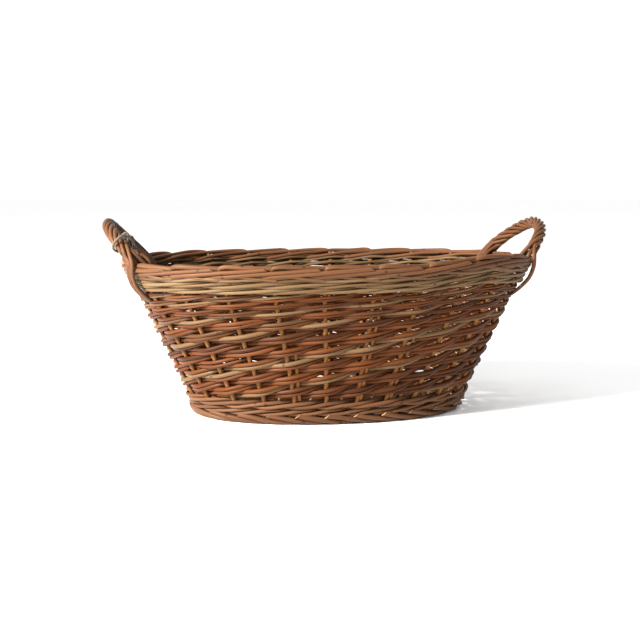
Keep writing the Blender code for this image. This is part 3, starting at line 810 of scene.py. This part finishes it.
def make_foot_border(user):
    sizes, _ = user
    rng = np.random.default_rng(43)
    rods = border_rods(rng, sizes, FOOT_ROD, FOOT_LEVEL, sizes.border * 1.06, (0.3, 1.0),
                       {0: UP * 0.9})
    for rod in rods:
        rod.points[:, 2] = np.maximum(rod.points[:, 2], rod.radii)
    add_rods("foot_border_rods", rods, "Border willow", user, "willow_border", "foot_border")


def fan_offset(x):
    past = abs(x) - LONG_STICK_FAN_START
    return LONG_STICK_SPACING + LONG_STICK_FAN_SLOPE * (
        past + np.hypot(past, LONG_STICK_FAN_BEND)) / 2


def inside_oval_x(oval, offset):
    places = np.linspace(0, oval[0], 400)
    offsets = np.array([offset(x) for x in places])
    reach = oval_radius(np.arctan2(offsets, places), *oval)
    return places[np.hypot(places, offsets) <= reach][-1]


def cross_places():
    middle = (CROSS_STICK_COUNT - 1) / 2
    return [(number - middle) * CROSS_STICK_PITCH for number in range(CROSS_STICK_COUNT)]


def base_edge():
    return FOOT_LENGTH / 2 - FOOT_BORDER_WIDTH - 0.001, FOOT_WIDTH / 2 - FOOT_BORDER_WIDTH - 0.001


def base_crossings(oval, bundled):
    """Angles at which a round passes the sticks over a full turn, and its pass numbers."""
    end = inside_oval_x(oval, fan_offset)
    fan = np.arctan2(fan_offset(end), end)
    half = [-fan, fan] if bundled else [-fan, 0.0, fan]
    passes = [0, 0] if bundled else [0, 1, 2]
    for x in sorted(cross_places(), reverse=True):
        y = oval[1] * (1 - (abs(x) / oval[0]) ** oval[2]) ** (1 / oval[2])
        half.append(np.arctan2(y, x))
        passes.append(passes[-1] + 1)
    angles = half + [angle + np.pi for angle in half] + [half[0] + 2 * np.pi]
    turn = passes[-1] + 1
    return np.array(angles), np.array(passes + [turn + n for n in passes] + [2 * turn])


BASE_RINGS, BASE_ROD_RADIUS, BASE_SWING = 24, 0.00155, 0.0046
WOVEN_CORE_HALF_WIDTH = 0.0150
LONG_STICK_RADIUS, CROSS_STICK_RADIUS, STICK_END_GAP = 0.0041, 0.0022, 0.003
# Half the split of a cross stick: at its ends, and how much wider where it takes the long sticks
SPLIT_HALF, SPLIT_OPENING, SPLIT_FROM, SPLIT_RUN = 0.0012, 0.0034, 0.013, 0.006


def base_round(number, rng):
    """One round of the base, over one stick and under the next."""
    half_length, half_width = base_edge()
    part = (number + 0.5) / BASE_RINGS
    inset = (half_width - WOVEN_CORE_HALF_WIDTH) * (1 - part)
    oval = (half_length - inset, half_width - inset,
            BASE_CORE_ROUNDNESS + (FOOT_ROUNDNESS - BASE_CORE_ROUNDNESS) * part)
    angles, passes = base_crossings(oval, part < 1 / 3)
    steps = np.arange(0, len(angles) - 1 + 1e-6, 0.25)
    angle = np.interp(steps, range(len(angles)), angles)
    along = np.interp(steps, range(len(passes)), passes) + number
    height = BASE_HEIGHT + BASE_SWING * np.clip(1.2 * np.cos(np.pi * along), -1, 1)
    radius = oval_radius(angle, *oval)
    points = np.stack([radius * np.cos(angle), radius * np.sin(angle), height], axis=1)
    radii = knobbly(rng, np.full(len(points), BASE_ROD_RADIUS), 0.05)
    return Rod(points, radii, rng.uniform(0.3, 1.0), rng.choice([0.0, 0.3]))


def make_base(user):
    rng = np.random.default_rng(47)
    rods = [base_round(number, rng) for number in range(BASE_RINGS)]
    add_rods("base_weave", rods, "Side willow", user, "willow_side",
             "base_round_1", "base_round_2", "base_round_3", sides=6)

    sticks = []
    edge = (*base_edge(), FOOT_ROUNDNESS)
    for side in (-1, 0, 1):
        end = inside_oval_x(edge, fan_offset if side else lambda x: 0.0) - STICK_END_GAP
        points = [(x, side * fan_offset(x), BASE_HEIGHT) for x in np.linspace(-end, end, 25)]
        sticks.append(Rod(points, knobbly(rng, np.full(25, LONG_STICK_RADIUS), 0.03), 0.6,
                          cut={0: UP * 0.3, -1: UP * 0.3}))
    for x in cross_places():
        end = edge[1] * (1 - (abs(x) / edge[0]) ** edge[2]) ** (1 / edge[2]) - STICK_END_GAP
        for level in (-1, 1):
            y = np.linspace(-end, end, 21)
            near = np.clip(1 - (np.abs(y) - SPLIT_FROM) / SPLIT_RUN, 0, 1)
            z = BASE_HEIGHT + level * (SPLIT_HALF + SPLIT_OPENING * near)
            points = np.stack([np.full(21, x), y, z], axis=1)
            sticks.append(Rod(points, knobbly(rng, np.full(21, CROSS_STICK_RADIUS), 0.04),
                              rng.uniform(0.3, 0.9)))
    add_rods("base_sticks", sticks, "Stake willow", user, "willow_stick",
             *[f"base_stick_long_{n}" for n in range(1, 4)],
             *[f"base_stick_cross_{n}" for n in range(1, CROSS_STICK_COUNT + 1)], sides=10)


# ---------------------------------------------------------------- handles

def end_spots(y, z, side):
    """Points, tangents and normals on the wall, carried on above the rim, at one end."""
    spots = []
    for across, height in zip(np.atleast_1d(y), np.atleast_1d(z)):
        angles = np.linspace(-1.2, 1.2, 481)
        radii = wall_radius(angles, height)
        angle = np.interp(across, radii * np.sin(angles), angles)
        point, tangent, normal, _, _ = wall_spots(np.array(angle), np.array(height))
        spots.append((point, tangent, normal))
    flip = np.array([side, 1, 1])
    return [np.array([spot[k] for spot in spots]) * flip for k in range(3)]


def leg_y(z):
    angle = STAKES[HANDLE_STAKE]
    stretch = wall_spots(np.array(angle), np.array(z))[3]
    beside = angle - HANDLE_STAKE_DISTANCE / stretch
    return float(wall_radius(beside, z) * np.sin(beside))


def bow_line():
    leg = [(leg_y(z), z) for z in np.linspace(HANDLE_LEG_BOTTOM, WALL_HEIGHT, 5)]
    span = leg[-1][0]
    arch = [(span * np.sign(np.cos(turn)) * np.abs(np.cos(turn)) ** BOW_POINT,
             WALL_HEIGHT + BOW_RISE * np.sin(turn) ** BOW_POINT)
            for turn in np.linspace(0, np.pi, 25)[1:-1]]
    return np.array(leg + arch + [(-y, z) for y, z in reversed(leg)])


ROPE_RODS, ROPE_TURNS, ROPE_POINTS = 6, 2.0, 34
ROPE_SPREAD, ROPE_START_HEIGHT = 0.0055, 0.008
BOW_TIP_RADIUS = 0.0018
# How far above the handle's foot a tucked rod lies, and how far out from the rim's middle
TUCK_OUTSIDE = ((-0.043, -0.0125), (-0.036, -0.0040), (-0.025, 0.0055), (-0.012, 0.0100),
                (0.000, 0.0098))
# The same for a rod tucked inside, out from the wall's middle at its own height
TUCK_INSIDE = ((-0.036, -0.0015), (-0.028, -0.0060), (-0.016, -0.0098), (-0.004, -0.0098))


def rope_tuck(side, leg, turn, spread):
    """Where a rope rod goes past the border: outside or inside it, then in under the wale."""
    outward, along = np.cos(turn), np.sin(turn)
    rows = []
    for drop, reach in TUCK_OUTSIDE if outward > 0 else TUCK_INSIDE:
        z = WALL_HEIGHT + drop
        level = RIM_LEVEL if outward > 0 else z
        point, tangent, normal = (v[0] for v in end_spots(leg * leg_y(level), level, side))
        spot = np.array([point[0], end_spots(leg * leg_y(z), z, side)[0][0][1], z])
        rows.append(spot + normal * reach + tangent * along * spread * side * leg)
    return rows


def rope_rod(side, strand, sizes, rng):
    line = bow_line()
    above = line[line[:, 1] > WALL_HEIGHT + ROPE_START_HEIGHT]
    centres, _, normals = end_spots(above[:, 0], above[:, 1], side)
    lengths = lengths_along(centres)
    first = (strand / ROPE_RODS + (0.5 if side < 0 else 0)) * 2 * np.pi

    def at(values, where):
        return np.array([np.interp(where, lengths, values[:, k]) for k in range(3)])

    rows = []
    for length in np.linspace(0, lengths[-1], ROPE_POINTS):
        centre, normal = at(centres, length), at(normals, length)
        forward = at(centres, length + 0.001) - at(centres, length - 0.001)
        forward /= np.linalg.norm(forward)
        normal = normal - forward * normal.dot(forward)
        normal /= np.linalg.norm(normal)
        share = length / lengths[-1]
        away = BOW_RADIUS + 0.5 * sizes.rope * (1.0 + 0.25 * (2 * abs(share - 0.5)) ** 6)
        turn = first + share * ROPE_TURNS * 2 * np.pi
        rows.append(centre + away * (np.cos(turn) * normal
                                     + np.sin(turn) * np.cross(forward, normal)))
    start = rope_tuck(side, 1, first, ROPE_SPREAD)
    end = rope_tuck(side, -1, first + ROPE_TURNS * 2 * np.pi, ROPE_SPREAD)
    points = through(np.array(start + rows + end[::-1]), 3)
    radii = 0.5 * sizes.rope * (1.04 - 0.10 * np.linspace(0, 1, len(points)))
    radii = radii * rng.normal(1.0, 0.04)
    return Rod(points, knobbly(rng, radii, 0.03), rng.uniform(0.3, 1.0), rng.uniform(0, 0.1))


def make_handles(user):
    sizes, _ = user
    rng = np.random.default_rng(53)
    for name, side in (("left", -1), ("right", 1)):
        line = bow_line()
        points = through(end_spots(line[:, 0], line[:, 1], side)[0], 3)
        pared = np.clip((WALL_HEIGHT - points[:, 2]) / RIM_BORDER_HEIGHT, 0, 1)
        radii = BOW_RADIUS + (BOW_TIP_RADIUS - BOW_RADIUS) * pared
        add_rods(f"{name}_bow", [Rod(points, radii, 0.5)], "Border willow", user,
                 "willow_handle", f"{name}_handle_bow", sides=12)
        rods = [rope_rod(side, strand, sizes, rng) for strand in range(ROPE_RODS)]
        add_rods(f"{name}_rope", rods, "Border willow", user, "willow_handle",
                 *[f"{name}_handle_strand_{n}" for n in range(1, 6)], sides=10)


# ---------------------------------------------------------------- twine and tag

TWIST_LENGTH, KNOT_TURNS, KNOT_RADIUS = 0.0085, 1.6, 0.0026
TAG_CLIP, TAG_BOW = 0.004, 0.0006


def twine_mesh(name, points, radius, finish, turns):
    """A two-ply twisted cord as one closed tube round its path."""
    sides = 14
    lengths = lengths_along(points)
    mesh = bpy.data.meshes.new(name)
    forward = np.gradient(points, axis=0)
    forward /= np.linalg.norm(forward, axis=1)[:, None]
    side = np.cross(forward[0], UP)
    side /= np.linalg.norm(side)
    verts, places = [], []
    for number, (point, ahead) in enumerate(zip(points, forward)):
        side = side - ahead * side.dot(ahead)
        side /= np.linalg.norm(side)
        other = np.cross(ahead, side)
        spin = lengths[number] / lengths[-1] * turns * 2 * np.pi
        for corner in range(sides):
            turn = corner * 2 * np.pi / sides
            lobe = 0.80 + 0.20 * abs(math.cos(turn - spin))
            verts.append(point + radius * lobe * (math.cos(turn) * side + math.sin(turn) * other))
            places.append((math.cos(turn - spin), math.sin(turn - spin), lengths[number]))
    count = len(points)
    faces = [(ring * sides + c, ring * sides + (c + 1) % sides,
              (ring + 1) * sides + (c + 1) % sides, (ring + 1) * sides + c)
             for ring in range(count - 1) for c in range(sides)]
    faces.append(tuple(range(sides))[::-1])
    faces.append(tuple((count - 1) * sides + c for c in range(sides)))
    mesh.from_pydata([tuple(v) for v in verts], [], faces)
    layer = mesh.attributes.new("rod_place", "FLOAT_VECTOR", "POINT")
    layer.data.foreach_set("vector", np.array(places, dtype=np.float32).ravel())
    mesh.materials.append(finish)
    mesh.shade_smooth()
    return linked(name, mesh)


def make_twine_and_tag(user):
    sizes, colours = user
    finish = twine_finish(tuple(colours.twine))
    path = spread_evenly(through(TWINE_ROUTE, 24), 130)
    radius = 0.5 * sizes.twine
    length = lengths_along(path)[-1]
    twine = twine_mesh("tag_twine_cord", path, radius, finish, length / TWIST_LENGTH)

    knot_spot = np.array(TWINE_ROUTE[3])
    wrap = []
    for turn in np.linspace(0, KNOT_TURNS * 2 * np.pi, 50):
        wrap.append(knot_spot + np.array([
            KNOT_RADIUS * math.cos(turn), 0.0010 * math.sin(turn * 0.5) + 0.0006 * turn / 6,
            KNOT_RADIUS * math.sin(turn)]))
    knot = twine_mesh("tag_twine_knot", np.array(wrap), radius * 0.9, finish, 5)

    down = Vector(TAG_DOWN).normalized()
    turned = down.cross(Vector(TAG_ACROSS)).normalized()
    across = turned.cross(down)
    reach = TAG_GAP + radius + TAG_LENGTH / 2
    centre = Vector(path[-1]) + down * reach
    tag = card_piece("blank_tag", centre, across, turned, down, card_finish(tuple(colours.card)))

    settle_in(tag, "tag_card", "swing_tag")
    settle_in(knot, "jute_twine")
    settle_in(twine, "jute_twine", "tag_twine")


def card_piece(name, centre, across, turned, down, finish):
    """A card with clipped upper corners, slightly bowed along its length."""
    w, h, clip = TAG_WIDTH / 2, TAG_LENGTH / 2, TAG_CLIP
    outline = [(-w, -h), (-w, -h / 3), (-w, h / 3), (-w, h - clip), (-w + clip, h),
               (w - clip, h), (w, h - clip), (w, h / 3), (w, -h / 3), (w, -h)]
    mesh = bpy.data.meshes.new(name)
    verts = []
    for face in (-1, 1):
        for x, y in outline:
            bow = TAG_BOW * math.cos(y / h * math.pi / 2)
            verts.append(centre + across * x - down * y
                         + turned * (face * TAG_THICKNESS / 2 + bow))
    n = len(outline)
    front = tuple(n + k for k in range(n))
    sides = [(k, (k + 1) % n, n + (k + 1) % n, n + k) for k in range(n)]
    mesh.from_pydata([tuple(v) for v in verts], [], [tuple(range(n))[::-1], front] + sides)
    mesh.materials.append(finish)
    return linked(name, mesh)


# ---------------------------------------------------------------- studio

CAMERA_DISTANCE, CAMERA_HEIGHT = 1.194, 0.2559
CAMERA_TURN, CAMERA_DIP, CAMERA_LENS, CAMERA_SHIFT = 8.8, 7.17, 56.76, -0.0125
KEY_PLACE, KEY_AIM, KEY_SIDE = (-1.90, -0.95, 1.15), (0, 0, 0.1), 0.6
KEY_POWER, KEY_COLOUR = 345, (1.0, 0.96, 0.91)
WORLD_STRENGTH, FLOOR_REACH = 1.06, 40.0


def make_camera():
    data = bpy.data.cameras.new("Studio camera")
    data.lens = CAMERA_LENS
    data.shift_x = CAMERA_SHIFT
    camera = linked("Studio camera", data)
    turn = math.radians(CAMERA_TURN)
    camera.location = (-CAMERA_DISTANCE * math.sin(turn), -CAMERA_DISTANCE * math.cos(turn),
                       CAMERA_HEIGHT)
    camera.rotation_euler = (math.radians(90 - CAMERA_DIP), 0, -turn)
    bpy.context.scene.camera = camera


def make_key_light():
    data = bpy.data.lights.new("Key", "AREA")
    data.shape = "RECTANGLE"
    data.size = data.size_y = KEY_SIDE
    data.energy = KEY_POWER
    data.color = KEY_COLOUR
    light = linked("Key", data)
    light.location = KEY_PLACE
    aim = Vector(KEY_AIM) - Vector(KEY_PLACE)
    light.rotation_euler = aim.to_track_quat("-Z", "Y").to_euler()


def studio_world():
    world = bpy.data.worlds.new("Studio white")
    world.use_nodes = True
    ground = world.node_tree.nodes["Background"]
    ground.inputs["Color"].default_value = (1.0, 1.0, 1.0, 1.0)
    ground.inputs["Strength"].default_value = WORLD_STRENGTH
    return world


def make_stage(user):
    """A floor that reaches the horizon, one light, white all round, and the camera."""
    _, colours = user
    mesh = bpy.data.meshes.new("studio_floor")
    corners = ((-1, -1), (1, -1), (1, 1), (-1, 1))
    mesh.from_pydata([(FLOOR_REACH * x, FLOOR_REACH * y, 0.0) for x, y in corners], [],
                     [(0, 1, 2, 3)])
    mesh.materials.append(stage_finish(tuple(colours.studio)))
    linked("studio_floor", mesh)
    bpy.context.scene.world = studio_world()
    make_key_light()
    bpy.context.scene.view_settings.view_transform = "Standard"
    make_camera()


# ---------------------------------------------------------------- operators

class BASKET_OT_stage(bpy.types.Operator):
    """Set up the pale floor, the light and the camera"""

    bl_idname = "basket.stage"
    bl_label = "Studio"

    def execute(self, context):
        make_stage(chosen(context))
        return {"FINISHED"}


class BASKET_OT_tag(bpy.types.Operator):
    """Tie the twine and its blank tag to the left handle"""

    bl_idname = "basket.tag"
    bl_label = "Twine and tag"

    def execute(self, context):
        make_twine_and_tag(chosen(context))
        return {"FINISHED"}


class BASKET_OT_base(bpy.types.Operator):
    """Lay the base's sticks and weave round them"""

    bl_idname = "basket.base"
    bl_label = "Base"

    def execute(self, context):
        make_base(chosen(context))
        return {"FINISHED"}


class BASKET_OT_stakes(bpy.types.Operator):
    """Stand the stakes and the short rods added beside them"""

    bl_idname = "basket.stakes"
    bl_label = "Stakes"

    def execute(self, context):
        make_stakes(chosen(context))
        return {"FINISHED"}


class BASKET_OT_side(bpy.types.Operator):
    """Weave the side, every rod climbing from stake to stake"""

    bl_idname = "basket.side"
    bl_label = "Side weave"

    def execute(self, context):
        make_side(chosen(context))
        return {"FINISHED"}


class BASKET_OT_wales(bpy.types.Operator):
    """Weave the upsett over the foot and the pale wale under the rim"""

    bl_idname = "basket.wales"
    bl_label = "Upsett and top wale"

    def execute(self, context):
        make_upsett(chosen(context))
        make_top_wale(chosen(context))
        return {"FINISHED"}


class BASKET_OT_borders(bpy.types.Operator):
    """Lay down the borders of the rim and the foot"""

    bl_idname = "basket.borders"
    bl_label = "Borders"

    def execute(self, context):
        make_rim_border(chosen(context))
        make_foot_border(chosen(context))
        return {"FINISHED"}


class BASKET_OT_handles(bpy.types.Operator):
    """Push in both bows and rope them"""

    bl_idname = "basket.handles"
    bl_label = "Roped handles"

    def execute(self, context):
        make_handles(chosen(context))
        return {"FINISHED"}


STEPS = (BASKET_OT_stage, BASKET_OT_tag, BASKET_OT_base, BASKET_OT_stakes, BASKET_OT_side,
         BASKET_OT_wales, BASKET_OT_borders, BASKET_OT_handles)


class BASKET_PT_panel(bpy.types.Panel):
    """Sizes, colours and the basket's pieces in the order they are made"""

    bl_label = "Willow basket"
    bl_idname = "BASKET_PT_panel"
    bl_space_type = "VIEW_3D"
    bl_region_type = "UI"
    bl_category = "Basket"

    def draw(self, context):
        for group in chosen(context):
            box = self.layout.box()
            for name in group.__annotations__:
                box.prop(group, name)
        for step in STEPS:
            self.layout.operator(step.bl_idname)


CLASSES = (BasketSizes, BasketColours, *STEPS, BASKET_PT_panel)


def register():
    for item in CLASSES:
        bpy.utils.register_class(item)
    bpy.types.Scene.basket_sizes = PointerProperty(type=BasketSizes)
    bpy.types.Scene.basket_colours = PointerProperty(type=BasketColours)


def unregister():
    del bpy.types.Scene.basket_colours
    del bpy.types.Scene.basket_sizes
    for item in reversed(CLASSES):
        bpy.utils.unregister_class(item)


def main():
    register()
    for step in STEPS:
        getattr(bpy.ops.basket, step.bl_idname.split(".")[1])()


if __name__ == "__main__":
    main()
